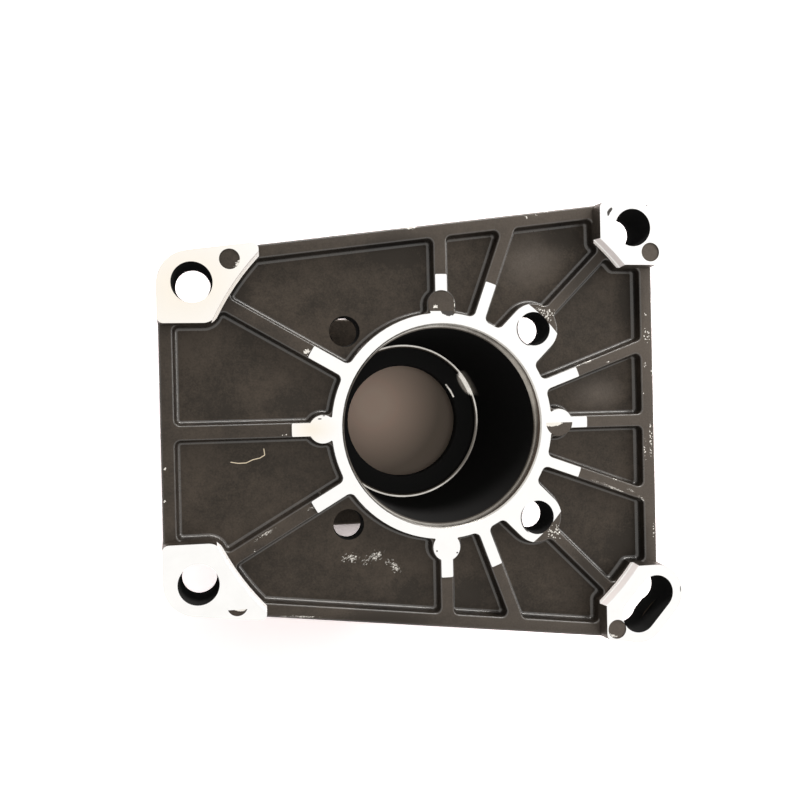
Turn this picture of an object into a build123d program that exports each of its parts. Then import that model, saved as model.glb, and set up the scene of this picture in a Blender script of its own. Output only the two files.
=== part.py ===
from build123d import *
from math import cos, hypot, radians, sin, sqrt, tan
import os

# Die-cast aluminium adapter flange that carries a pump on a motor's face. It is one casting: a tapered plate
# with pockets and ribs, four ears, a deep tube behind the plate and a square flange at the tube's end.
# The bore's axis is Z and the origin lies on it in the rear face. X runs along the plate, from the two ears
# that stand wide of the bore to the two that stand close to it. Sizes are in millimetres.

# Depths down the bore, from the faced ring at the front to the rear face
pilot_depth = 4.3
core_depth = 59.3
seat_depth = 2.7
lip_thickness = 4.0
rear_recess_depth = 6.0

# Radii of the bore: turned pilot, drafted core, narrow seat, lip and rear recess
pilot_radius = 29.8
pilot_chamfer = 0.4
core_step = 0.74
core_draft = 1.94
seat_width = 1.0
lip_radius = 19.9
lip_edge_radius = 0.8
rear_recess_radius = 26.0

# Heights of the plate's levels, from the faced ring
ear_rise = 4.6
crest_drop = 0.5
pocket_depth = 4.6
plate_thickness = 9.6

# Draft and radii left by the mould
draft_angle = 3.0
crest_radius = 0.6
foot_radius = 1.2
pocket_corner_radius = 1.6

# Ring round the bore, pads that the ejector pins pushed on, and the disc that was faced flat
ring_wall = 3.4
pin_pad_offset = 2.5
pin_pad_radius = 4.05
facing_reach = 11.4
pad_shoulder = 0.28
pad_corner_radius = 0.35
pad_root_radius = 0.3

# Ribs that run out from the ring
long_rib_angle = 150.0
long_rib_width = 3.8
cross_rib_width = 3.5
short_rib_angle = 70.0
short_rib_width = 3.3
slim_rib_angle = 20.0
slim_rib_width = 3.0
boss_angle = 45.0

# Four bolt holes round the bore, the two on the close side in bosses
bolt_gap = 6.8
bolt_mouth_radius = 5.05
bolt_hole_radius = 4.2
bolt_land = 2.0
boss_wall = 2.45

# Ears: one bolt circle, one turned register, and edge distances from the holes
ear_circle_radius = 82.55
register_radius = 73.03
register_stock = 0.5
wide_ear_angle = 149.8
wide_ear_edge = 9.55
wide_ear_length = 18.35
close_ear_angle = 44.8
close_ear_edge = 8.93
close_ear_length = 10.4
ear_side_edge = 8.9
ear_inner_length = 11.2
ear_corner_radius = 1.8
ear_tip_radius = 4.2
ear_mouth_radius = 5.66
ear_core_depth = 8.0
wide_hole_radius = 5.0
close_hole_radius = 4.75

# Slotted ear
slot_angle = -42.25
slot_sweep = 5.9
slot_half_width = 5.35
slot_waist = 0.5
slot_wall = 3.15

# Plate outline and its rims
side_slope = 7.2
plate_corner_radius = 9.5
close_rim_edge = 8.25
wide_rim = 3.9
close_rim = 4.0
side_rim = 4.0

# Tube and rear flange
tube_wall = 4.2
tube_fillet = 2.0
rear_flange_thickness = 6.5
rear_bolt_edge = 8.7
rear_edge_radius = 0.8

# Prints of the ejector pins on the ears: how far each lies from its ear's hole along X and Y
pin_mark_radius = 2.85
pin_mark_depth = 0.35
wide_mark_x = 10.35
wide_mark_y = 6.4
close_mark_x = 5.55
close_mark_y = 7.35
slot_mark_x = 7.2
slot_mark_y = 3.85

# Prints that the facing cut took a part of: their tilt, and how deep their middle lies below the face
half_mark_tilt = 8.0
half_mark_depth = -0.15
upper_pad_tilt = -2.9
upper_pad_depth = 0.1
close_pad_tilt = 3.0
close_pad_depth = 0.0
pad_cover = 0.1

# Working values that follow from the sizes above
ring_z = core_depth + seat_depth + lip_thickness + rear_recess_depth
ear_z = ring_z + ear_rise
crest_z = ring_z - crest_drop
floor_z = ring_z - pocket_depth
back_z = ring_z - plate_thickness
core_radius = pilot_radius - core_step
core_end_radius = core_radius - (core_depth - pilot_depth) * tan(radians(core_draft))
ring_radius = pilot_radius + ring_wall
facing_radius = ring_radius + facing_reach
bolt_circle_radius = ring_radius + bolt_gap
boss_radius = bolt_mouth_radius + boss_wall
ear_setback = 0.05
clear = 1.0
same_place = 0.001
smooth_cosine = 0.999


def polar(radius, angle):
    """Point at a distance from the bore's axis, at an angle in degrees from +X."""
    return (radius * cos(radians(angle)), radius * sin(radians(angle)))


wide_hole = polar(ear_circle_radius, wide_ear_angle)
close_hole = polar(ear_circle_radius, close_ear_angle)
slot_high = polar(ear_circle_radius, slot_angle + slot_sweep / 2)
slot_low = polar(ear_circle_radius, slot_angle - slot_sweep / 2)
plate_left = wide_hole[0] - wide_ear_edge
plate_right = close_hole[0] + close_rim_edge
plate_reach = 2 * ear_circle_radius


def side_y(x, inset=0.0):
    """Y of the plate's sloping upper side at x, with the side moved inwards by inset."""
    slope = tan(radians(side_slope))
    return wide_hole[1] + (x - wide_hole[0]) * slope + (ear_side_edge - inset) / cos(radians(side_slope))


def tapered_outline(left, right, inset):
    """Trapezoid between two X stations, its long sides lying inset inside the plate's sloping sides."""
    points = [
        (left, -side_y(left, inset)),
        (right, -side_y(right, inset)),
        (right, side_y(right, inset)),
        (left, side_y(left, inset)),
    ]
    return make_face(Polyline(*points, close=True))


def box_between(low, high):
    """Rectangle between two opposite corners."""
    return Pos(*low) * Rectangle(high[0] - low[0], high[1] - low[1], align=(Align.MIN, Align.MIN))


def is_sharp(face, vertex):
    """True where the two edges of a face that meet in a vertex don't run on smoothly."""
    tangents = []
    for edge in face.edges():
        for end in (0, 1):
            if (edge @ end - Vector(vertex)).length < same_place:
                tangents.append(edge % end)
    return abs(tangents[0].dot(tangents[1])) < smooth_cosine


def round_corners(face, radius):
    """Round each sharp corner of a face with one radius."""
    corners = [vertex for vertex in face.vertices() if is_sharp(face, vertex)]
    return fillet(corners, radius)


def round_at(face, point, radius):
    """Round the corner of a face that lies nearest to a point."""
    corner = min(face.vertices(), key=lambda vertex: (Vector(vertex) - Vector(*point)).length)
    return fillet(corner, radius)


def mirrored(shape):
    """Mirror image of a shape across the XZ plane."""
    return mirror(shape, about=Plane.XZ)


def plate_outline(grow=0.0):
    """Plate seen from above, with its four corners rounded about the ears' holes."""
    outline = tapered_outline(plate_left - grow, plate_right + grow, -grow)
    return round_corners(outline, plate_corner_radius + grow)


def beyond_register(outline, grow):
    """Part of an outline that lies outside the cast wall of the register."""
    return outline - Circle(register_radius - register_stock - grow)


def wide_ear(grow=0.0):
    """Upper ear of the wide side: the plate's corner beyond the register, cut off square at both ends."""
    inner_y = wide_hole[1] - ear_inner_length - grow
    end_x = wide_hole[0] + wide_ear_length + grow
    outline = plate_outline(grow) & box_between((-plate_reach, inner_y), (end_x, plate_reach))
    outline = round_at(outline, (plate_left, inner_y), ear_corner_radius + grow)
    outline = round_at(outline, (end_x, side_y(end_x)), ear_corner_radius + grow)
    tip_x = -sqrt((register_radius - register_stock - grow) ** 2 - inner_y**2)
    return round_at(beyond_register(outline, grow), (tip_x, inner_y), ear_tip_radius + grow)


def close_ear(grow=0.0):
    """Upper ear of the close side, a block that stands a little past the plate's end."""
    left = close_hole[0] - close_ear_length - grow
    right = close_hole[0] + close_ear_edge + grow
    inner_y = close_hole[1] - ear_inner_length - grow
    outline = tapered_outline(left, right, -grow) & box_between((left, inner_y), (right, plate_reach))
    outline = round_at(outline, (right, side_y(right)), plate_corner_radius + grow)
    outline = round_at(outline, (left, side_y(left)), ear_corner_radius + grow)
    outline = round_at(outline, (right, inner_y), ear_corner_radius + grow)
    return beyond_register(outline, grow)


def slot_outline(radius):
    """Round-ended outline about the line between the slot's two end centres."""
    ends = Pos(*slot_high) * Circle(radius) + Pos(*slot_low) * Circle(radius)
    return make_hull(ends.edges())


def slot_ear(grow=0.0):
    """Lower ear of the close side: a block between the register and the lobe round the slot."""
    radius = slot_half_width + slot_wall + grow
    left = slot_low[0] - close_ear_length - grow
    top = slot_high[1] + radius
    block = tapered_outline(left, slot_low[0], -grow)
    block &= box_between((left, -plate_reach), (slot_low[0], top))
    block = round_at(block, (left, -side_y(left)), ear_corner_radius + grow)
    shoulder = box_between((slot_low[0], slot_low[1]), (slot_high[0], top))
    return beyond_register(block + shoulder + slot_outline(radius), grow)


def rib_strip(angle, width, length):
    """Straight strip of a rib, from the bore's axis outwards."""
    return Rot(0, 0, angle) * Rectangle(length, width, align=(Align.MIN, Align.CENTER))


def rib_layout():
    """Angle and faced width of every rib."""
    layout = [(0.0, short_rib_width), (180.0, long_rib_width)]
    for side in (1, -1):
        layout.append((side * 90.0, cross_rib_width))
        layout.append((side * slim_rib_angle, slim_rib_width))
        layout.append((side * boss_angle, slim_rib_width))
        layout.append((side * short_rib_angle, short_rib_width))
        layout.append((side * long_rib_angle, long_rib_width))
    return layout


def pin_pad_centres():
    """Middles of the four pads that the ejector pins pushed on."""
    return [polar(ring_radius + pin_pad_offset, angle) for angle in (0, 90, 180, 270)]


def is_on_pin_pad(vertex):
    """True for a corner that lies on the rim of a pin pad."""
    gaps = [abs(hypot(vertex.X - x, vertex.Y - y) - pin_pad_radius) for x, y in pin_pad_centres()]
    return min(gaps) < same_place


def web_outline(grow=0.0):
    """Ring, pin pads, bosses and ribs seen from above."""
    web = Circle(ring_radius + grow)
    for centre in pin_pad_centres():
        web += Pos(*centre) * Circle(pin_pad_radius + grow)
    for side in (1, -1):
        boss = Pos(*polar(bolt_circle_radius, side * boss_angle)) * Circle(boss_radius + grow)
        web += boss + rib_strip(side * boss_angle, 2 * (boss_radius + grow), bolt_circle_radius)
    for angle, width in rib_layout():
        web += rib_strip(angle, width + 2 * grow, plate_reach)
    return web


def pocket_faces():
    """The twelve pockets at the height of the rib crests."""
    grow = (ear_z - crest_z) * tan(radians(draft_angle)) + ear_setback
    field = tapered_outline(plate_left + wide_rim, plate_right - close_rim, side_rim)
    field -= wide_ear(grow) + mirrored(wide_ear(grow))
    field -= close_ear(grow)
    field -= slot_ear(grow)
    return (field - web_outline(pad_shoulder)).faces()


def soft_outline(face, radius):
    """Face with every corner rounded to one radius, and nothing in it narrower than that radius allows."""
    outline = make_face(face.outer_wire().edges())
    for sign in (-1, 1):
        outline = offset(outline, amount=sign * radius, kind=Kind.INTERSECTION)
        outline = offset(outline, amount=-sign * radius, kind=Kind.ARC)
    return outline


def pocket_cutter(face):
    """Pocket with drafted walls and a rounded foot, hanging from the height of the rib crests."""
    outline = Pos(0, 0, crest_z) * soft_outline(face, pocket_corner_radius)
    drafted = extrude(outline, amount=floor_z - crest_z, taper=draft_angle)
    foot = drafted.faces().sort_by(Axis.Z)[0].edges()
    return fillet(foot, foot_radius)


def pillar(outline_at, top_z):
    """Solid that stands on the plate's back and narrows by the draft up to top_z, from an outline's function."""
    widening = (top_z - back_z) * tan(radians(draft_angle))
    foot = Pos(0, 0, back_z) * outline_at(widening)
    top = Pos(0, 0, top_z) * outline_at()
    return loft([foot.face(), top.face()], ruled=True)


def ribbed_plate():
    """Plate with its pockets cut and every crest edge rounded."""
    plate = pillar(plate_outline, crest_z)
    for face in pocket_faces():
        plate -= pocket_cutter(face)
    crest = plate.faces().sort_by(Axis.Z)[-1]
    return fillet(crest.edges(), crest_radius)


def ears():
    """The four ears, each from the plate's back up to its faced top."""
    wide = pillar(wide_ear, ear_z)
    return wide + mirrored(wide) + pillar(close_ear, ear_z) + pillar(slot_ear, ear_z)


def pads():
    """Faced ring, pin pads, bosses and rib ends, which rise above the crests inside the facing circle."""
    outline = web_outline() & Circle(facing_radius)
    outer = [v for v in outline.vertices() if abs(hypot(v.X, v.Y) - facing_radius) < same_place]
    outline = fillet(outer, pad_corner_radius)
    rooted = [v for v in outline.vertices() if is_sharp(outline, v) and is_on_pin_pad(v)]
    outline = fillet(rooted, pad_root_radius)
    inner = [v for v in outline.vertices() if is_sharp(outline, v)]
    outline = fillet(inner, pocket_corner_radius + pad_shoulder)
    root = crest_drop + crest_radius
    return Pos(0, 0, ring_z - root) * extrude(outline, amount=root)


def hub():
    """Tube behind the plate with its square rear flange, both still solid."""
    half = polar(bolt_circle_radius, boss_angle)[0] + rear_bolt_edge
    square = round_corners(Rectangle(2 * half, 2 * half), rear_bolt_edge)
    rear_plate = extrude(square, amount=rear_flange_thickness)
    rear_plate = fillet(rear_plate.edges().group_by(Axis.Z)[-1], rear_edge_radius)
    tube = Pos(0, 0, rear_flange_thickness) * Cone(
        core_end_radius + tube_wall,
        core_radius + tube_wall,
        back_z - rear_flange_thickness,
        align=(Align.CENTER, Align.CENTER, Align.MIN),
    )
    return rear_plate + tube


def bore():
    """Everything turned or cored on the axis, as one profile swung round it."""
    pilot_z = ring_z - pilot_depth
    seat_z = ring_z - core_depth
    lip_z = seat_z - seat_depth
    mouth_radius = pilot_radius + pilot_chamfer
    profile = Polyline(
        (0, -clear),
        (rear_recess_radius, -clear),
        (rear_recess_radius, rear_recess_depth),
        (lip_radius, rear_recess_depth),
        (lip_radius, lip_z),
        (core_end_radius - seat_width, lip_z),
        (core_end_radius - seat_width, seat_z),
        (core_end_radius, seat_z),
        (core_radius, pilot_z),
        (pilot_radius, pilot_z),
        (pilot_radius, ring_z - pilot_chamfer),
        (mouth_radius, ring_z),
        (mouth_radius, ear_z),
        (0, ear_z),
        close=True,
    )
    section = round_at(make_face(profile), (lip_radius, lip_z), lip_edge_radius)
    return revolve(Plane.XZ * section, axis=Axis.Z)


def upright(radius, height):
    """Cylinder that stands on the origin."""
    return Cylinder(radius, height, align=(Align.CENTER, Align.CENTER, Align.MIN))


def register_cut():
    """Turned register, which clears the ears' inner walls down to a narrow ledge level with the ring."""
    return Pos(0, 0, ring_z) * upright(register_radius, 2 * ear_rise)


def drafted_hole(point, mouth_z, mouth_radius, land_z, land_radius):
    """Hole that narrows from its mouth to a land, and runs out of the plate's back at the land's radius."""
    cone = Cone(land_radius, mouth_radius, mouth_z - land_z, align=(Align.CENTER, Align.CENTER, Align.MIN))
    low_z = back_z - clear
    return Pos(*point, land_z) * cone + Pos(*point, low_z) * upright(land_radius, land_z - low_z)


def bolt_holes():
    """Four drafted holes round the bore, and the plain holes in line with them in the rear flange."""
    holes = []
    for quarter in range(4):
        point = polar(bolt_circle_radius, boss_angle + 90 * quarter)
        holes.append(drafted_hole(point, ring_z, bolt_mouth_radius, back_z + bolt_land, bolt_hole_radius))
        holes.append(Pos(*point, -clear) * upright(bolt_hole_radius, rear_flange_thickness + 2 * clear))
    return holes


def ear_holes():
    """Bolt holes of three ears, and the slot of the fourth, whose lower half has a narrower waist."""
    land_z = ear_z - ear_core_depth
    low_z = back_z - clear
    holes = []
    for point, radius in (
        (wide_hole, wide_hole_radius),
        ((wide_hole[0], -wide_hole[1]), wide_hole_radius),
        (close_hole, close_hole_radius),
    ):
        holes.append(drafted_hole(point, ear_z, ear_mouth_radius, land_z, radius))
    mouth = extrude(slot_outline(slot_half_width), amount=ear_core_depth + clear)
    waist = extrude(slot_outline(slot_half_width - slot_waist), amount=land_z - low_z)
    holes.append(Pos(0, 0, land_z) * mouth + Pos(0, 0, low_z) * waist)
    for end in (slot_high, slot_low):
        holes.append(Pos(*end, low_z) * upright(slot_half_width, ear_z - low_z))
    return holes


def pin_mark(point, height, radius, depth, tilt=0.0):
    """Round print of an ejector pin in a face, its floor tilted about X where facing took part of it away."""
    return Pos(*point, height - depth) * Rot(tilt, 0, 0) * upright(radius, ear_rise)


def pin_marks():
    """Prints on the four ears, and on the two pads of the ring that the facing cut didn't clean up."""
    wide_mark = (wide_hole[0] + wide_mark_x, wide_hole[1] + wide_mark_y)
    close_mark = (close_hole[0] + close_mark_x, close_hole[1] - close_mark_y)
    slot_mark = (slot_low[0] - slot_mark_x, slot_low[1] - slot_mark_y)
    half_mark = (wide_mark[0], -wide_mark[1])
    marks = []
    for point in (wide_mark, close_mark, slot_mark):
        marks.append(pin_mark(point, ear_z, pin_mark_radius, pin_mark_depth))
    marks.append(pin_mark(half_mark, ear_z, pin_mark_radius, half_mark_depth, half_mark_tilt))
    cover = pin_pad_radius + pad_cover
    pad_distance = ring_radius + pin_pad_offset
    marks.append(pin_mark((0, pad_distance), ring_z, cover, upper_pad_depth, upper_pad_tilt))
    marks.append(pin_mark((pad_distance, 0), ring_z, cover, close_pad_depth, close_pad_tilt))
    return marks


def flange_casting():
    """The whole casting: plate, ears, pads and hub, then its turned, faced and drilled places."""
    casting = ribbed_plate() + ears() + pads() + hub()
    circles = casting.edges().filter_by(GeomType.CIRCLE)
    tube_ends = ((back_z, core_radius + tube_wall), (rear_flange_thickness, core_end_radius + tube_wall))
    roots = []
    for height, radius in tube_ends:
        roots.append(min(circles, key=lambda edge: abs(edge.center().Z - height) + abs(edge.radius - radius)))
    casting = fillet(roots, tube_fillet)
    for cutter in [register_cut(), bore()] + bolt_holes() + ear_holes() + pin_marks():
        casting -= cutter
    return casting


os.makedirs("parts", exist_ok=True)
export_step(flange_casting().solid(), "parts/flange_casting.step")
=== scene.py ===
import math

import bmesh
import bpy
import numpy as np
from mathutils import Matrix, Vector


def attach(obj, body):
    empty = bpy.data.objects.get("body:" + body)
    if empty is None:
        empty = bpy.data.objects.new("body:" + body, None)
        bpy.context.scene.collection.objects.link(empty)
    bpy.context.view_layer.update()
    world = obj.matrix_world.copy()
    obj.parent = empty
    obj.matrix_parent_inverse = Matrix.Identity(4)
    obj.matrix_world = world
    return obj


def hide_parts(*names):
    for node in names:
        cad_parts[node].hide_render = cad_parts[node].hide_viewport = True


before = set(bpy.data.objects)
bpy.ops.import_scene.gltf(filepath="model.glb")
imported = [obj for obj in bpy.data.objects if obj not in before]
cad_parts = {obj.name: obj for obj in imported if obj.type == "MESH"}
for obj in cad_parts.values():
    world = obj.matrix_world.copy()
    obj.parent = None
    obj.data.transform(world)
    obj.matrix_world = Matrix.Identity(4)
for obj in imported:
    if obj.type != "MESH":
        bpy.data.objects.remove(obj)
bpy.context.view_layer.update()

MM = 0.001

# The casting's body: one aluminium die casting, with a tapered ribbed plate, four ears, a deep tube and a
# square rear flange. The model's facets are welded here into one closed skin with smooth round stretches.
WELD_WITHIN = 0.0005 * MM
SMOOTH_BELOW = math.radians(24)

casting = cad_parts["flange_casting"].copy()
casting.data = casting.data.copy()
casting.name = "flange_body"
casting.data.name = "flange_body"
casting.parent = None
bpy.context.scene.collection.objects.link(casting)

skin = bmesh.new()
skin.from_mesh(casting.data)
bmesh.ops.remove_doubles(skin, verts=skin.verts, dist=WELD_WITHIN)
skin.to_mesh(casting.data)
skin.free()
if "custom_normal" in casting.data.attributes:
    casting.data.attributes.remove(casting.data.attributes["custom_normal"])
casting.data.shade_smooth()
casting.data.set_sharp_from_angle(angle=SMOOTH_BELOW)
casting.data.materials.clear()

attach(casting, "root")
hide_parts("flange_casting")

# The finishes, told apart by where a facet lies and where it faces. Cutters touched the ring, the pads, the
# ears' tops and inner arcs, the pilot at the bore's mouth, the seat and the rear. The rest kept its skin,
# which is rubbed smooth along the rounded edges of the pockets.
RING_Z = 72.0 * MM
EAR_Z = 76.6 * MM
CREST_Z = 71.5 * MM
PILOT_Z = 67.7 * MM
POCKET_Z = 67.4 * MM
PLATE_BACK_Z = 62.4 * MM
SEAT_Z = 12.7 * MM
RECESS_Z = 6.0 * MM
CORE_RADIUS = 29.06 * MM
SEAT_RADIUS = 27.3 * MM
REAR_RECESS_RADIUS = 26.0 * MM
PILOT_RADIUS = 30.2 * MM
REGISTER_RADIUS = 73.03 * MM
BOLT_AT = 28.284 * MM
BOLT_RADIUS = 5.05 * MM
WIDE_HOLE = (-71.346 * MM, 41.524 * MM)
CLOSE_HOLE = (58.575 * MM, 58.168 * MM)
EAR_HOLE_RADIUS = 5.66 * MM
SLOT_HIGH = (63.83 * MM, -52.34 * MM)
SLOT_LOW = (58.09 * MM, -58.65 * MM)
SLOT_HALF_WIDTH = 5.35 * MM
LEVEL = 0.02 * MM
REGISTER_WITHIN = 0.1 * MM
SLOT_WITHIN = 0.2 * MM
FLAT = 0.999
UPRIGHT_BELOW = 0.5
FACES_AXIS = 0.99
LEANS_FROM = 0.1
LEANS_TO = 0.985
FINISHES = ["skin", "core", "faced", "turned", "edge"]

count = len(casting.data.polygons)
centre = np.zeros(count * 3)
normal = np.zeros(count * 3)
casting.data.polygons.foreach_get("center", centre)
casting.data.polygons.foreach_get("normal", normal)
centre, normal = centre.reshape(-1, 3), normal.reshape(-1, 3)
height = centre[:, 2]
radius = np.hypot(centre[:, 0], centre[:, 1])
inward = -(centre[:, 0] * normal[:, 0] + centre[:, 1] * normal[:, 1]) / radius
flat_up = normal[:, 2] > FLAT
flat_down = normal[:, 2] < -FLAT
upright = np.abs(normal[:, 2]) < UPRIGHT_BELOW
leaning = (normal[:, 2] > LEANS_FROM) & (normal[:, 2] < LEANS_TO)


def from_line(start, end):
    """Distance on the plan from each facet to the straight line between two points."""
    along = np.subtract(end, start)
    offset = centre[:, :2] - start
    share = np.clip(offset @ along / max(along @ along, MM**2), 0, 1)
    return np.linalg.norm(offset - share[:, None] * along, axis=1)


faced = flat_up & (np.abs(height - RING_Z) < LEVEL)
faced |= flat_up & (np.abs(height - EAR_Z) < LEVEL)
at_register = np.abs(radius - REGISTER_RADIUS) < REGISTER_WITHIN
faced |= (inward > FACES_AXIS) & (height > RING_Z - LEVEL) & at_register
turned = (radius < PILOT_RADIUS) & (height > PILOT_Z - LEVEL)
turned |= flat_up & (radius < SEAT_RADIUS) & (np.abs(height - SEAT_Z) < LEVEL)
turned |= flat_down & (height < LEVEL)
turned |= (radius < REAR_RECESS_RADIUS + LEVEL) & (height < RECESS_Z + LEVEL)
cored = (radius < CORE_RADIUS + LEVEL) & (height < PILOT_Z - LEVEL) & (height > RECESS_Z + LEVEL)
for x in (-BOLT_AT, BOLT_AT):
    for y in (-BOLT_AT, BOLT_AT):
        cored |= upright & (from_line((x, y), (x, y)) < BOLT_RADIUS)
for x, y in (WIDE_HOLE, (WIDE_HOLE[0], -WIDE_HOLE[1]), CLOSE_HOLE):
    cored |= upright & (from_line((x, y), (x, y)) < EAR_HOLE_RADIUS)
cored |= upright & (from_line(SLOT_HIGH, SLOT_LOW) < SLOT_HALF_WIDTH + SLOT_WITHIN)
edges = leaning & (height > POCKET_Z) & (height < CREST_Z) & (radius > PILOT_RADIUS)

finish = np.zeros(count, dtype=np.int32)
for name, where in {"edge": edges, "core": cored, "faced": faced, "turned": turned}.items():
    finish[where] = FINISHES.index(name)
casting.data.polygons.foreach_set("material_index", finish)


# The cast skin: a thin black coat on the sand-fine surface that the mould left, satin and a little brown.
# It is mottled where the metal flowed, and paler on the rib crests, partly rubbed and partly painted light,
# most of all on the close side.
def new_material(name):
    """Empty material that holds one Principled shader, joined to its output."""
    material = bpy.data.materials.new(name)
    material.use_nodes = True
    material.node_tree.nodes.clear()
    shader = material.node_tree.nodes.new("ShaderNodeBsdfPrincipled")
    output = material.node_tree.nodes.new("ShaderNodeOutputMaterial")
    material.node_tree.links.new(shader.outputs["BSDF"], output.inputs["Surface"])
    return material, shader


def add(material, kind, inputs=None, **properties):
    """Node with its properties set, and each input set to a value or joined to another node's output."""
    node = material.node_tree.nodes.new(kind)
    for name, value in properties.items():
        setattr(node, name, value)
    for socket, value in (inputs or {}).items():
        if isinstance(value, bpy.types.NodeSocket):
            material.node_tree.links.new(value, node.inputs[socket])
        else:
            node.inputs[socket].default_value = value
    return node


def join(material, shader, sockets):
    """Join several outputs to a shader's inputs, by name."""
    for name, output in sockets.items():
        material.node_tree.links.new(output, shader.inputs[name])


def place(material):
    """A point's own place on the part, in metres."""
    known = material.node_tree.nodes.get("Texture Coordinate")
    return (known or add(material, "ShaderNodeTexCoord")).outputs["Object"]


def apart(material, vector):
    """The three components of a vector."""
    return add(material, "ShaderNodeSeparateXYZ", {"Vector": vector}).outputs


def length_of(material, vector):
    """A vector's length."""
    return add(material, "ShaderNodeVectorMath", {0: vector}, operation="LENGTH").outputs["Value"]


def grain(material, size, detail=3.0, roughness=0.5, warp=0.0):
    """Noise whose lumps are about size across, from 0 to 1."""
    inputs = {"Vector": place(material), "Scale": 1 / size, "Detail": detail}
    inputs.update({"Roughness": roughness, "Distortion": warp})
    return add(material, "ShaderNodeTexNoise", inputs).outputs["Fac"]


def spread(material, value, low, high, to_low=0.0, to_high=1.0):
    """Value stretched so that low becomes to_low and high becomes to_high, and held between them."""
    inputs = {"Value": value, "From Min": low, "From Max": high, "To Min": to_low, "To Max": to_high}
    return add(material, "ShaderNodeMapRange", inputs).outputs["Result"]


def work_out(material, operation, *values):
    """Arithmetic on one to three values."""
    return add(material, "ShaderNodeMath", dict(enumerate(values)), operation=operation).outputs[0]


def times(material, *shares):
    """The product of several shares."""
    product = shares[0]
    for share in shares[1:]:
        product = work_out(material, "MULTIPLY", product, share)
    return product


def blend_colour(material, share, first, second):
    """First colour where share is 0, second where it is 1."""
    node = add(material, "ShaderNodeMix", data_type="RGBA")
    for socket, value in {0: share, 6: first, 7: second}.items():
        if isinstance(value, bpy.types.NodeSocket):
            material.node_tree.links.new(value, node.inputs[socket])
        else:
            node.inputs[socket].default_value = value
    return node.outputs[2]


def relief(material, layers):
    """Bumps stacked on each other, each a height map with its depth in metres."""
    below = None
    for height_map, depth in layers:
        inputs = {"Height": height_map, "Distance": depth, "Strength": 1.0}
        if below:
            inputs["Normal"] = below
        below = add(material, "ShaderNodeBump", inputs).outputs["Normal"]
    return below


def local_place(material, x, y, turn, half_length=1 / MM, half_width=1 / MM):
    """A point's place seen from (x, y) in mm, turned by some degrees and measured in the half-lengths."""
    inputs = {"Vector": place(material), "Location": (x * MM, y * MM, 0)}
    inputs["Rotation"] = (0, 0, math.radians(turn))
    inputs["Scale"] = (half_length * MM, half_width * MM, 1)
    return add(material, "ShaderNodeMapping", inputs, vector_type="TEXTURE").outputs["Vector"]


def closeness(material, ovals):
    """How deep a point lies in the nearest of several ovals, seen from the front: 1 at a middle, 0 on a rim,
    less outside. Each oval is its middle's X and Y, its two half-lengths in mm, and its turn in degrees."""
    nearest = None
    for x, y, half_length, half_width, turn in ovals:
        reach = length_of(material, local_place(material, x, y, turn, half_length, half_width))
        nearest = work_out(material, "MINIMUM", nearest, reach) if nearest else reach
    return work_out(material, "SUBTRACT", 1.0, nearest)


def specks(material, ovals, spacing, widest=0.34):
    """Flecks scattered one to each spacing. A point is bare where it is nearer to a scattered place than a
    reach, which grows towards the middle of each oval: flecks are widest there and die out at its rim."""
    depth = spread(material, closeness(material, ovals), 0.0, 0.6)
    inputs = {"Vector": place(material), "Scale": 1 / spacing}
    gap = add(material, "ShaderNodeTexVoronoi", inputs).outputs["Distance"]
    ragged = work_out(material, "MULTIPLY_ADD", grain(material, 0.4 * spacing, 2), 0.16, gap)
    reach = work_out(material, "MULTIPLY_ADD", depth, widest, 0.08)
    flecks = spread(material, work_out(material, "SUBTRACT", reach, ragged), 0.0, 0.08)
    return times(material, flecks, spread(material, depth, 0.0, 0.1))


def scrapes(material, ovals, fineness=3.2, grit=0.3 * MM):
    """Bare streaks that run along each oval: noise in the oval's own measure, so that it is drawn out as the
    oval is, raised in the middle, cut off at a level and broken up by finer grit."""
    most = None
    for oval in ovals:
        local = local_place(material, *oval[:2], oval[4], *oval[2:4])
        depth = work_out(material, "SUBTRACT", 1.0, length_of(material, local))
        inputs = {"Vector": local, "Scale": fineness, "Detail": 3.0, "Roughness": 0.6}
        noise = add(material, "ShaderNodeTexNoise", inputs).outputs["Fac"]
        raised = work_out(material, "MULTIPLY_ADD", depth, 0.22, noise)
        streaks = times(material, spread(material, raised, 0.63, 0.70), spread(material, depth, 0.0, 0.15))
        most = work_out(material, "MAXIMUM", most, streaks) if most else streaks
    return times(material, most, spread(material, grain(material, grit, 2, 0.7), 0.44, 0.54))


def blots(material, ovals, ragged=0.5, size=0.5 * MM):
    """1 inside the ovals and 0 outside, their rims made ragged by fine noise."""
    noise = work_out(material, "MULTIPLY_ADD", grain(material, size, 2), ragged, closeness(material, ovals))
    return spread(material, noise, 0.5 * ragged, 0.5 * ragged + 0.08)


def hairline(material, points, half_width):
    """1 on a thin line through several points in mm, 0 beside it. The distance to each of its runs is the
    length of a point's offset, less the part of it that lies along the run."""
    nearest = None
    for (x, y), (next_x, next_y) in zip(points, points[1:]):
        run = math.hypot(next_x - x, next_y - y) * MM
        turn = math.degrees(math.atan2(next_y - y, next_x - x))
        offset = apart(material, local_place(material, x, y, turn))
        beyond = work_out(material, "SUBTRACT", offset["X"], spread(material, offset["X"], 0, run, 0, run))
        left = add(material, "ShaderNodeCombineXYZ", {"X": beyond, "Y": offset["Y"]}).outputs["Vector"]
        reach = length_of(material, left)
        nearest = work_out(material, "MINIMUM", nearest, reach) if nearest else reach
    return spread(material, nearest, half_width, 0.5 * half_width)


def either(material, *shares):
    """The largest of several shares."""
    largest = shares[0]
    for share in shares[1:]:
        largest = work_out(material, "MAXIMUM", largest, share)
    return largest


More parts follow.
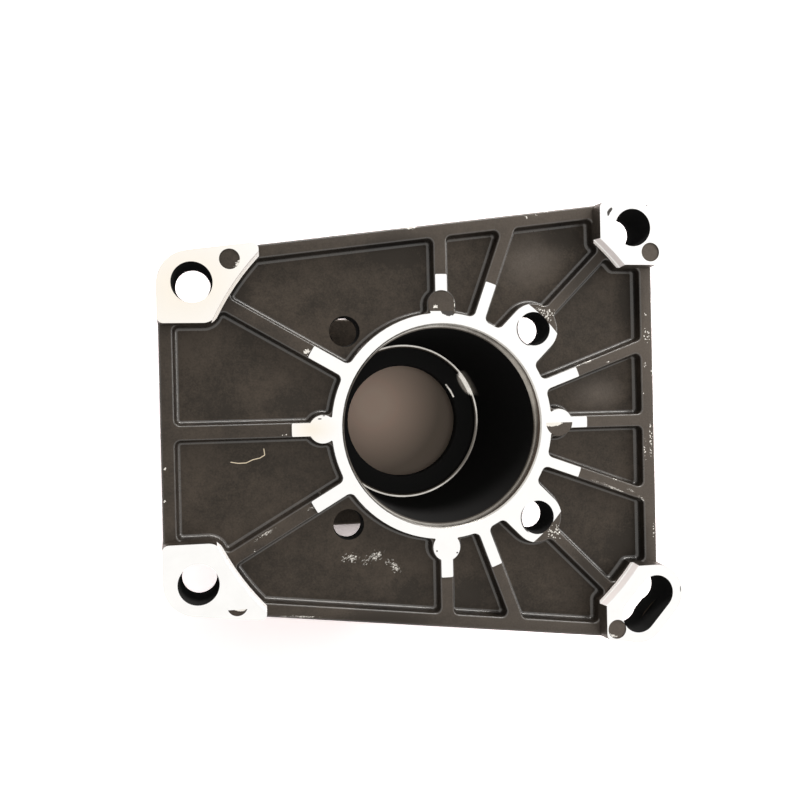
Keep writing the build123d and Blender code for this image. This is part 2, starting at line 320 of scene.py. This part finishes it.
SKIN_DARK = (0.006, 0.0046, 0.0034, 1)
SKIN_LIGHT = (0.036, 0.0275, 0.0205, 1)
# Crest tone: rubbed wear and painted light together.
RUBBED_AND_LIT_TONE = (0.125, 0.105, 0.088, 1)
# Bare metal for chips, also used for painted glints in the bore and on the seat.
CHIPPED_AND_GLINT = (0.78, 0.74, 0.67, 1)
SKIN_SHEEN = (1.0, 0.87, 0.74, 1)
EDGE_SHEEN = (1.0, 0.97, 0.93, 1)
HAIR_GOLD = (0.72, 0.60, 0.42, 1)
# Painted light on the crests grows along X between these limits.
RUBBED_AND_LIT_FROM_X = -60 * MM
RUBBED_AND_LIT_TO_X = 66 * MM
RUB_AND_LIGHT_STARTS = 0.7 * MM
RUB_AND_LIGHT_IS_FULL = 0.05 * MM
MOTTLE_SIZE = 17 * MM
WAVE_SIZE = 9 * MM
CLOUD_SIZE = 2.2 * MM
PIT_SIZE = 1.7 * MM
SPECKLE_SIZE = 0.6 * MM
SAND_SIZE = 0.5 * MM
WAVE_DEPTH = 0.10 * MM
PIT_DEPTH = 0.05 * MM
SAND_DEPTH = 0.035 * MM

# Painted light in paler stretches of the coat, and painted shade in duskier ones beside walls and ears. Then
# the chips, scuffs and scratches that lay the metal bare through the coat.
PAINTED_LIGHT_STRETCHES = [(29.0, 50.0, 14.0, 10.0, 20), (50.0, 9.0, 10.0, 6.0, 0), (30.0, 62.7, 18.0, 4.0, 7)]
PAINTED_SHADE_STRETCHES = [
    (40.0, 56.5, 9.0, 5.0, 0), (60.0, 35.0, 5.0, 12.0, 0), (60.0, -38.0, 7.0, 14.0, 0),
    (-16.0, 51.0, 16.0, 6.0, 8), (9.0, -50.0, 8.0, 7.0, 0), (-62.0, 39.0, 9.0, 7.0, 20),
    (46.0, 46.0, 18.0, 5.0, 45), (46.0, -46.0, 18.0, 4.0, -45), (-10.1, -48.6, 9.0, 7.0, 0),
    (-44.9, 8.0, 9.0, 6.0, 0), (57.9, -38.0, 8.0, 8.0, 0), (-20.0, -56.2, 26.0, 4.0, -2),
]
CHIPS = [
    (-46.8, -1.3, 1.5, 0.5, 5), (-55.7, -33.8, 0.7, 0.6, 0), (-36.7, -18.5, 0.7, 0.7, 0),
    (-79.8, -9.6, 0.7, 0.9, 0), (-80.2, -18.7, 0.6, 0.9, 0), (26.8, 61.7, 0.8, 0.7, 0),
    (30.0, 62.6, 0.6, 0.5, 0), (33.2, 63.4, 0.9, 0.5, 0), (67.2, 40.7, 0.6, 1.2, 0),
    (66.6, 36.9, 0.5, 1.4, 0), (64.8, 32.6, 0.8, 0.7, 0), (64.1, 17.2, 0.6, 1.6, 0),
    (66.4, 14.7, 0.6, 2.0, 0), (63.6, 8.0, 0.6, 0.8, 0), (64.9, 25.8, 1.8, 4.2, 0),
    (63.6, -9.5, 0.8, 4.8, 0), (66.0, -34.5, 0.7, 3.6, 0), (65.6, -6.0, 0.9, 9.0, 0),
    (52.2, 18.1, 0.9, 0.6, 0), (53.5, -17.8, 1.4, 0.6, -30),
]
SCUFFS = [(32.0, 32.5, 4.8, 4.2, 0), (33.7, -33.2, 3.6, 3.6, 0)]
SCRAPES = [
    (-28.0, -38.2, 3.2, 2.0, 12), (-21.2, -38.3, 4.4, 2.1, 33), (-15.2, -41.2, 3.3, 2.0, -28),
    (-43.5, -53.3, 7.0, 0.45, -4), (-52.8, -29.3, 4.4, 0.7, 33), (-39.2, -22.3, 2.0, 0.6, 31),
    (44.7, 17.9, 3.4, 0.6, 19), (52.0, -20.2, 7.8, 0.6, -21.5), (58.6, -21.5, 1.8, 0.5, -21),
    (62.2, -24.2, 1.8, 0.7, -35), (-9.5, 58.0, 4.2, 0.6, 7),
]
HALF_BARE = [
    (-58.9, 46.6, 2.3, 0.9, 56), (49.9, -64.4, 1.9, 0.6, -20), (-1.9, 35.0, 1.1, 0.8, 0),
    (-39.8, 22.2, 1.4, 1.2, 20),
]
BARE = [
    (3.95, 36.8, 0.55, 0.14, 90), (4.02, 35.1, 0.9, 0.16, 96), (33.3, -0.15, 3.4, 1.0, 0),
    (-60.3, -48.9, 1.7, 0.6, -6),
]
SCRATCH_HALF_WIDTH = 0.15 * MM
BARE_FADES_OVER = 3 * MM
SCRATCH = [
    (-61.8, -8.8), (-59.7, -9.2), (-57.5, -9.15), (-55.6, -8.3), (-53.6, -7.9), (-52.2, -7.1), (-52.4, -5.3),
]


def coated(name, roughness, sheen, sheen_tone, coarse):
    """The cast skin's coat, with its mottling, its rubbed and chipped places, its painted light and shade,
    its gloss and its fine relief, whose depths are multiplied by coarse."""
    material, shader = new_material(name)
    offset = apart(material, place(material))
    sand = grain(material, SAND_SIZE, 4, 0.6)
    mottle = spread(material, grain(material, MOTTLE_SIZE, 4, 0.55), 0.28, 0.72)
    tone = work_out(material, "MULTIPLY_ADD", grain(material, CLOUD_SIZE, 3), 1.1, mottle)
    tone = work_out(material, "MULTIPLY_ADD", grain(material, SPECKLE_SIZE, 3, 0.7), 1.7, tone)
    # Painted shade: the coat darkens in the dusky stretches, and holds back the paler tones there.
    painted_shade = spread(material, closeness(material, PAINTED_SHADE_STRETCHES), 0.0, 1.0, 0.0, 1.1)
    tone = work_out(material, "SUBTRACT", tone, painted_shade)
    coat = blend_colour(material, spread(material, tone, 1.4, 2.4), SKIN_DARK, SKIN_LIGHT)
    # Crests are paler, partly rubbed and partly painted light that grows towards the close side.
    crest = spread(material, offset["Z"], CREST_Z - RUB_AND_LIGHT_STARTS, CREST_Z - RUB_AND_LIGHT_IS_FULL)
    rubbed_and_lit = spread(material, offset["X"], RUBBED_AND_LIT_FROM_X, RUBBED_AND_LIT_TO_X, 0.08, 0.52)
    rubbed_and_lit = times(material, crest, rubbed_and_lit)
    # Painted light in the pale stretches.
    painted_light = spread(material, closeness(material, PAINTED_LIGHT_STRETCHES), 0.0, 1.0, 0.0, 0.55)
    worn_and_lit = times(material, either(material, rubbed_and_lit, painted_light), spread(material, sand, 0.2, 0.8, 0.7, 1.3))
    worn_and_lit = times(material, worn_and_lit, spread(material, painted_shade, 0.0, 0.8, 1.0, 0.2))
    coat = blend_colour(material, worn_and_lit, coat, RUBBED_AND_LIT_TONE)
    hair = hairline(material, SCRATCH, SCRATCH_HALF_WIDTH)
    bare_and_glint = either(
        material,
        specks(material, CHIPS, 0.55 * MM, 0.42),
        times(material, specks(material, SCUFFS, 0.6 * MM, 0.46), 0.8),
        times(material, scrapes(material, SCRAPES), 0.9),
        specks(material, HALF_BARE, 0.5 * MM, 0.7),
        blots(material, BARE),
        hair,
    )
    high = spread(material, offset["Z"], PLATE_BACK_Z, PLATE_BACK_Z + BARE_FADES_OVER)
    bare_and_glint = times(material, bare_and_glint, high)
    waves = grain(material, WAVE_SIZE, 1)
    pits = grain(material, PIT_SIZE, 2)
    join(material, shader, {
        "Base Color": blend_colour(material, bare_and_glint, coat, blend_colour(material, hair, CHIPPED_AND_GLINT, HAIR_GOLD)),
        "Metallic": bare_and_glint,
        "Roughness": spread(material, sand, 0.3, 0.7, roughness - 0.06, roughness + 0.08),
        "Normal": relief(material, [
            (waves, WAVE_DEPTH * coarse), (pits, PIT_DEPTH * coarse), (sand, SAND_DEPTH * coarse),
        ]),
    })
    shader.inputs["Specular IOR Level"].default_value = sheen
    shader.inputs["Specular Tint"].default_value = sheen_tone
    return material


cast_skin = coated("black_cast_skin", 0.44, 0.4, SKIN_SHEEN, 1.0)
edge_skin = coated("black_edge_skin", 0.31, 0.9, EDGE_SHEEN, 0.25)

# The cored walls, in the bore and in the holes: the same coat, thicker, and so deep that it looks black. A
# bright dash on the lip's edge and a bright stretch under the seat are painted highlights, laid in as bare
# metal, and a grey painted reflection fades up the wall above the seat's bright stretch.
CORE_BLACK = (0.030, 0.029, 0.028, 1)
PAINTED_REFLECTION_TONE = (0.85, 0.78, 0.69, 1)
PAINTED_GLINT_PATCH = [(23.6, 13.2, 5.5, 2.4, 119)]
GLINT_WALL_LEAN = 3.4
GLINT_FROM = 2.6 * MM
GLINT_IS_FULL = 2.2 * MM
SEAT_WALL_DEPTH = 2.7 * MM
PAINTED_REFLECTION_HEIGHT = 7 * MM
PAINTED_GLINT_DASH = [(16.3, 12.6), (17.9, 10.5), (19.0, 8.3)]
GLINT_DASH_HALF_WIDTH = 0.38 * MM
GLINT_DASH_TOP = 11.0 * MM
GLINT_DASH_FADE = 1 * MM

core_skin, shader = new_material("bore_skin")
level = apart(core_skin, place(core_skin))["Z"]
# Painted highlight: a bright dash on the lip's edge.
low = spread(core_skin, level, GLINT_DASH_TOP + GLINT_DASH_FADE, GLINT_DASH_TOP)
painted_glint_dash = times(core_skin, hairline(core_skin, PAINTED_GLINT_DASH, GLINT_DASH_HALF_WIDTH), low)
# Painted highlight under the seat, with a grey painted reflection fading up the wall above it.
painted_glint = spread(core_skin, closeness(core_skin, PAINTED_GLINT_PATCH), 0.0, 0.3)
painted_reflection = times(core_skin, painted_glint, spread(core_skin, level, SEAT_Z + PAINTED_REFLECTION_HEIGHT, SEAT_Z))
black = blend_colour(core_skin, painted_reflection, CORE_BLACK, PAINTED_REFLECTION_TONE)
under_seat = work_out(core_skin, "LESS_THAN", level, SEAT_Z)
over_lip = spread(core_skin, level, SEAT_Z - GLINT_FROM, SEAT_Z - GLINT_IS_FULL)
bare_and_glint = either(core_skin, painted_glint_dash, times(core_skin, painted_glint, under_seat, over_lip))
seat_wall = spread(core_skin, level, SEAT_Z - SEAT_WALL_DEPTH, SEAT_Z, 1.0, 0.0)
join(core_skin, shader, {
    "Base Color": blend_colour(core_skin, bare_and_glint, black, CHIPPED_AND_GLINT),
    "Metallic": bare_and_glint,
    "Roughness": spread(core_skin, grain(core_skin, 2 * MM, 2), 0.3, 0.7, 0.26, 0.36),
    "Normal": relief(core_skin, [(seat_wall, GLINT_WALL_LEAN * SEAT_WALL_DEPTH)]),
})
shader.inputs["Specular IOR Level"].default_value = 0.0

# The faced metal: bare aluminium, cut flat by a tool that went round the bore's axis and left fine rings. It
# keeps bits of black coat where the casting lay too low for the cutter, and along some rims. The turned band
# inside each ear is duller, and its shading is tipped towards the light.
BARE_LIGHT = (0.92, 0.905, 0.88, 1)
BARE_DARK = (0.88, 0.865, 0.84, 1)
BAND_TONE = (0.90, 0.82, 0.78, 1)
BAND_LEAN = 1.2
BAND_DULLNESS = 0.5
BAND_MARGIN = 0.2 * MM
BAND_FULL_FROM = 0.6 * MM
BAND_FULL_TO = 0.7 * MM
WARM_METAL = (0.87, 0.785, 0.66, 1)
LEFT_BLACK = (0.030, 0.024, 0.019, 1)
LEFT_ROUGHNESS = 0.45
FACED_ROUGHNESS = 0.34
RING_PITCH = 0.5 * MM
RING_DEPTH = 0.002 * MM
RING_WANDER_SIZE = 6 * MM
PATCH_SIZE = 5 * MM
LEFTOVERS = [
    (1.9, 33.7, 2.3, 1.45, -10), (-36.6, 3.0, 0.6, 0.2, 0), (-35.4, 3.86, 0.35, 0.15, 0),
    (-3.0, -36.7, 0.25, 0.3, 0), (3.1, -37.5, 0.3, 0.25, 0), (51.3, 63.1, 1.3, 0.5, 50),
    (50.9, 62.4, 0.9, 0.4, 80), (50.4, 66.0, 1.2, 0.25, 5), (63.35, 65.0, 0.35, 0.3, 0),
    (67.6, 54.1, 0.15, 0.35, 0), (71.75, -51.6, 0.15, 0.95, 0), (51.1, -66.2, 0.3, 0.25, 0),
    (-74.4, -50.55, 0.8, 0.32, -20),
]
RIM_LINES = [
    (-71.4, 41.5, 9.4, (-79.0, 49.0, 9.0, 3.6, 45)), (28.284, 28.284, 5.2, (24.0, 26.5, 5.2, 3.0, 115)),
    (28.284, -28.284, 5.2, (24.0, -29.5, 5.2, 3.0, 70)),
]
WARM = [(-73, 41, 26, 20, 20), (-39, 0, 8, 5, 0)]


def blend(material, share, first, second):
    """First number where share is 0, second where it is 1."""
    return add(material, "ShaderNodeMix", {0: share, 2: first, 3: second}).outputs[0]


def from_axis(material):
    """A point's distance from the bore's axis, its height left out."""
    flat = add(material, "ShaderNodeVectorMath", {0: place(material), 1: (1, 1, 0)}, operation="MULTIPLY")
    return length_of(material, flat.outputs[0])


def ring_marks(material):
    """Height of fine grooves round the bore's axis: the sine of the distance from it, with one wave for each
    pitch, once slow noise has made the distance wander."""
    noise = grain(material, RING_WANDER_SIZE, 1)
    wander = work_out(material, "MULTIPLY_ADD", noise, 0.4 * RING_PITCH, from_axis(material))
    return work_out(material, "SINE", times(material, wander, 2 * math.pi / RING_PITCH))


def rim_lines(material, half_width=0.25 * MM):
    """1 on thin arcs that lie at a radius from a middle, as far as each reaches into an oval of its own."""
    nearest = None
    for x, y, arc_radius, oval in RIM_LINES:
        local = local_place(material, x, y, 0)
        flat = add(material, "ShaderNodeVectorMath", {0: local, 1: (1, 1, 0)}, operation="MULTIPLY")
        reach = work_out(material, "SUBTRACT", length_of(material, flat.outputs[0]), arc_radius * MM)
        line = spread(material, work_out(material, "ABSOLUTE", reach), half_width, 0.5 * half_width)
        line = times(material, line, spread(material, closeness(material, [oval]), 0.0, 0.3))
        nearest = either(material, nearest, line) if nearest else line
    return nearest


def cut_metal(name, light, dark, roughness):
    """Cut aluminium with its shader, and its colour and roughness, which change together in soft patches."""
    material, shader = new_material(name)
    patches = spread(material, grain(material, PATCH_SIZE, 4), 0.35, 0.65)
    colour = blend_colour(material, patches, light, dark)
    rough = spread(material, patches, 0, 1, roughness - 0.04, roughness + 0.06)
    return material, shader, colour, rough


faced_metal, shader, colour, rough = cut_metal("faced_aluminium", BARE_LIGHT, BARE_DARK, FACED_ROUGHNESS)
level = apart(faced_metal, place(faced_metal))["Z"]
warmth = spread(faced_metal, closeness(faced_metal, WARM), 0.0, 0.9, 0.0, 0.8)
colour = blend_colour(faced_metal, warmth, colour, WARM_METAL)
band = times(
    faced_metal,
    spread(faced_metal, level, RING_Z + BAND_MARGIN, RING_Z + BAND_FULL_FROM),
    spread(faced_metal, level, EAR_Z - BAND_MARGIN, EAR_Z - BAND_FULL_TO),
)
colour = blend_colour(faced_metal, band, colour, BAND_TONE)
lean = spread(faced_metal, level, RING_Z, EAR_Z, 1.0, 0.0)
left = either(faced_metal, blots(faced_metal, LEFTOVERS, 0.5, 0.45 * MM), rim_lines(faced_metal))
dull = either(faced_metal, left, times(faced_metal, band, BAND_DULLNESS))
bumps = [(ring_marks(faced_metal), RING_DEPTH), (lean, BAND_LEAN * (EAR_Z - RING_Z))]
join(faced_metal, shader, {
    "Base Color": blend_colour(faced_metal, left, colour, LEFT_BLACK),
    "Metallic": work_out(faced_metal, "SUBTRACT", 1.0, dull),
    "Roughness": blend(faced_metal, either(faced_metal, left, band), rough, LEFT_ROUGHNESS),
    "Normal": relief(faced_metal, bumps),
})

# The turned metal: the pilot, the seat and the rear face, cut finer and greyer than the faced ring. The
# seat's shading leans towards the bore, so it shows as a bright thread. Its tone and the pilot's are painted
# by side: a painted glint on the seat, a painted dark reflection on another side, and painted shade down the
# pilot's wall, lifted on one side as painted light. What holds near the seat holds on the rear face below
# it too.
TURNED_LIGHT = (0.62, 0.59, 0.54, 1)
TURNED_DARK = (0.50, 0.47, 0.43, 1)
TURNED_ROUGHNESS = 0.22
SEAT_LEAN = 0.18
SEAT_LEANS_FROM = 4 * MM
SEAT_LEANS_TO = 1 * MM
SEAT_DIM_FROM = 0.62 * MM
SEAT_DIM_TO = 0.7 * MM
PAINTED_DARK_REFLECTION = [(24.6, -11.0, 18.0, 7.0, 66)]
PILOT_PAINTED_SHADE = (0.12, 0.105, 0.09, 1)
PILOT_SHADE_FROM = 4.1 * MM
PILOT_SHADE_FULL = 1 * MM
PILOT_PAINTED_LIGHT_SIDE = [(26.0, 13.9, 17.0, 8.0, 118)]
LEDGE_HEIGHT = 0.15 * MM
LEDGE_RIM_FROM = 0.85 * MM
LEDGE_RIM_TO = 0.75 * MM

turned_metal, shader, colour, rough = cut_metal(
    "turned_aluminium", TURNED_LIGHT, TURNED_DARK, TURNED_ROUGHNESS
)
level = apart(turned_metal, place(turned_metal))["Z"]
reach = from_axis(turned_metal)
low = spread(turned_metal, level, SEAT_Z + 2 * MM, SEAT_Z + 1 * MM)
lean = spread(turned_metal, reach, SEAT_RADIUS - SEAT_LEANS_FROM, SEAT_RADIUS + SEAT_LEANS_TO)
inner = spread(turned_metal, reach, SEAT_RADIUS - SEAT_DIM_FROM, SEAT_RADIUS - SEAT_DIM_TO)
# The painted glint on the seat, laid as bare metal.
away_from_glint = spread(turned_metal, closeness(turned_metal, PAINTED_GLINT_PATCH), 0.2, 0.0)
colour = blend_colour(turned_metal, times(turned_metal, inner, away_from_glint, low), colour, LEFT_BLACK)
colour = blend_colour(turned_metal, work_out(turned_metal, "SUBTRACT", low, away_from_glint), colour, CHIPPED_AND_GLINT)
# Painted dark reflection on one side of the seat and the rear face.
painted_dark_reflection = spread(turned_metal, closeness(turned_metal, PAINTED_DARK_REFLECTION), 0.0, 0.6, 0.0, 0.85)
colour = blend_colour(turned_metal, times(turned_metal, painted_dark_reflection, low), colour, PILOT_PAINTED_SHADE)
# Painted shade down the pilot's wall, spared at its bottom rim and lifted on one side as painted light.
pilot_painted_shade = times(
    turned_metal,
    spread(turned_metal, level, PILOT_Z + PILOT_SHADE_FROM, PILOT_Z + PILOT_SHADE_FULL),
    spread(turned_metal, level, PILOT_Z - 2 * MM, PILOT_Z - 1 * MM),
)
ledge = work_out(turned_metal, "LESS_THAN", level, PILOT_Z + LEDGE_HEIGHT)
ledge_rim = spread(turned_metal, reach, PILOT_RADIUS - LEDGE_RIM_FROM, PILOT_RADIUS - LEDGE_RIM_TO)
pilot_painted_shade = work_out(turned_metal, "SUBTRACT", pilot_painted_shade, times(turned_metal, ledge_rim, ledge))
painted_light_side = spread(turned_metal, closeness(turned_metal, PILOT_PAINTED_LIGHT_SIDE), 0.0, 0.7, 1.0, 0.15)
lean_height = SEAT_LEAN * (SEAT_LEANS_FROM + SEAT_LEANS_TO)
join(turned_metal, shader, {
    "Base Color": blend_colour(turned_metal, times(turned_metal, pilot_painted_shade, painted_light_side), colour, PILOT_PAINTED_SHADE),
    "Roughness": rough,
    "Normal": relief(turned_metal, [
        (ring_marks(turned_metal), RING_DEPTH), (times(turned_metal, lean, low), lean_height),
    ]),
})
shader.inputs["Metallic"].default_value = 1.0

materials = {"skin": cast_skin, "core": core_skin, "faced": faced_metal, "turned": turned_metal}
materials["edge"] = edge_skin
for name in FINISHES:
    casting.data.materials.append(materials[name])

# The floor: a pale sheet that the casting stands on. The camera and mirrors see it in a tone over 1, so that
# it is white under low lamps, and plain white far off. The patch that the tube shuts in is painted shade,
# brownish, with painted light towards one side.
FLOOR_HALF = 3.0
FLOOR_TONE = (0.70, 0.70, 0.70, 1)
FLOOR_SEEN = (2.25, 2.05, 2.03, 1)
FLOOR_FADES = (0.6, 2.0)
SHUT_IN_PAINTED_LIGHT = (1.16, 0.87, 0.695, 1)
SHUT_IN_PAINTED_SHADE = (0.37, 0.295, 0.235, 1)
SHUT_IN_PAINTED_LIGHT_AT = (-9.0, 6.0)
SHUT_IN_FADES = (5 * MM, 25 * MM)

floor_mesh = bpy.data.meshes.new("floor")
corners = [(-FLOOR_HALF, -FLOOR_HALF, 0), (FLOOR_HALF, -FLOOR_HALF, 0)]
corners += [(FLOOR_HALF, FLOOR_HALF, 0), (-FLOOR_HALF, FLOOR_HALF, 0)]
floor_mesh.from_pydata(corners, [], [(0, 1, 2, 3)])
floor = bpy.data.objects.new("floor", floor_mesh)
bpy.context.scene.collection.objects.link(floor)

floor_paper, shader = new_material("floor_paper")
path = add(floor_paper, "ShaderNodeLightPath").outputs
seen = either(floor_paper, path["Is Camera Ray"], path["Is Glossy Ray"], path["Is Transmission Ray"])
# Painted shade on the patch that the tube shuts in, with painted light towards one side.
shut_in = work_out(floor_paper, "LESS_THAN", length_of(floor_paper, place(floor_paper)), REAR_RECESS_RADIUS)
from_brightest = length_of(floor_paper, local_place(floor_paper, *SHUT_IN_PAINTED_LIGHT_AT, 0))
shut_in_shade_share = spread(floor_paper, from_brightest, *SHUT_IN_FADES)
shut_in_painted_tone = blend_colour(floor_paper, shut_in_shade_share, SHUT_IN_PAINTED_LIGHT, SHUT_IN_PAINTED_SHADE)
open_tone = blend_colour(floor_paper, seen, FLOOR_TONE, FLOOR_SEEN)
join(floor_paper, shader, {"Base Color": blend_colour(floor_paper, shut_in, open_tone, shut_in_painted_tone)})
far_off = spread(floor_paper, length_of(floor_paper, place(floor_paper)), *FLOOR_FADES)
join(floor_paper, shader, {"Emission Strength": times(floor_paper, seen, far_off)})
shader.inputs["Emission Color"].default_value = (1, 1, 1, 1)
shader.inputs["Roughness"].default_value = 0.9
shader.inputs["Specular IOR Level"].default_value = 0.0
floor_mesh.materials.append(floor_paper)

# The light: a wide soft ceiling that mirrors don't see, a bright window on the far side, another on the
# close side, and an even room. Mirrors see a sky, dull at the horizon and a little over white higher up.
ROOM_TONE = 0.14
HORIZON_MIRRORED = 0.3
SKY_MIRRORED = 1.12
SKY_IS_FULL_FROM = 0.25


def soft_lamp(name, centre, aim, size, brightness):
    """Soft oblong lamp at a point, turned to face another. A brightness of 1 shows white in a mirror."""
    lamp = bpy.data.lights.new(name, "AREA")
    lamp.shape = "RECTANGLE"
    lamp.size, lamp.size_y = size
    lamp.energy = brightness * math.pi * size[0] * size[1]
    holder = bpy.data.objects.new(name, lamp)
    bpy.context.scene.collection.objects.link(holder)
    holder.location = centre
    holder.rotation_euler = (Vector(aim) - Vector(centre)).to_track_quat("-Z", "Y").to_euler()
    return holder


soft_lamp("ceiling", (0.30, 0.0, 1.0), (0.30, 0.0, 0), (1.5, 1.5), 1.02).visible_glossy = False
soft_lamp("far_window", (0.32, 0.98, 0.55), (0, 0, 0.07), (0.9, 0.28), 12.0)
soft_lamp("close_window", (1.0, 0.25, 0.6), (0, 0, 0.07), (0.5, 0.3), 8.0)

room = bpy.data.worlds.new("room")
room.use_nodes = True
backdrop = room.node_tree.nodes["Background"]
backdrop.inputs["Color"].default_value = (1, 1, 1, 1)
path = add(room, "ShaderNodeLightPath").outputs
mirrored = either(room, path["Is Glossy Ray"], path["Is Transmission Ray"])
sky = apart(room, add(room, "ShaderNodeTexCoord").outputs["Generated"])["Z"]
sky = spread(room, sky, 0.0, SKY_IS_FULL_FROM, HORIZON_MIRRORED, SKY_MIRRORED)
tone = blend(room, path["Is Camera Ray"], blend(room, mirrored, ROOM_TONE, sky), 1.0)
room.node_tree.links.new(tone, backdrop.inputs["Strength"])
bpy.context.scene.world = room

# The camera: hand-held over the left half of the plate, looking down and a little to the right.
LENS = 41.106
CAMERA_AT = (-64.50 * MM, 9.53 * MM, 332.84 * MM)
CAMERA_TURN = (-0.105, -11.160, -1.299)

lens = bpy.data.cameras.new("camera")
lens.sensor_width = 36
lens.lens = LENS
lens.clip_start = 0.01
camera = bpy.data.objects.new("camera", lens)
bpy.context.scene.collection.objects.link(camera)
camera.location = CAMERA_AT
camera.rotation_euler = [math.radians(angle) for angle in CAMERA_TURN]
bpy.context.scene.camera = camera
bpy.context.scene.view_settings.view_transform = "Standard"
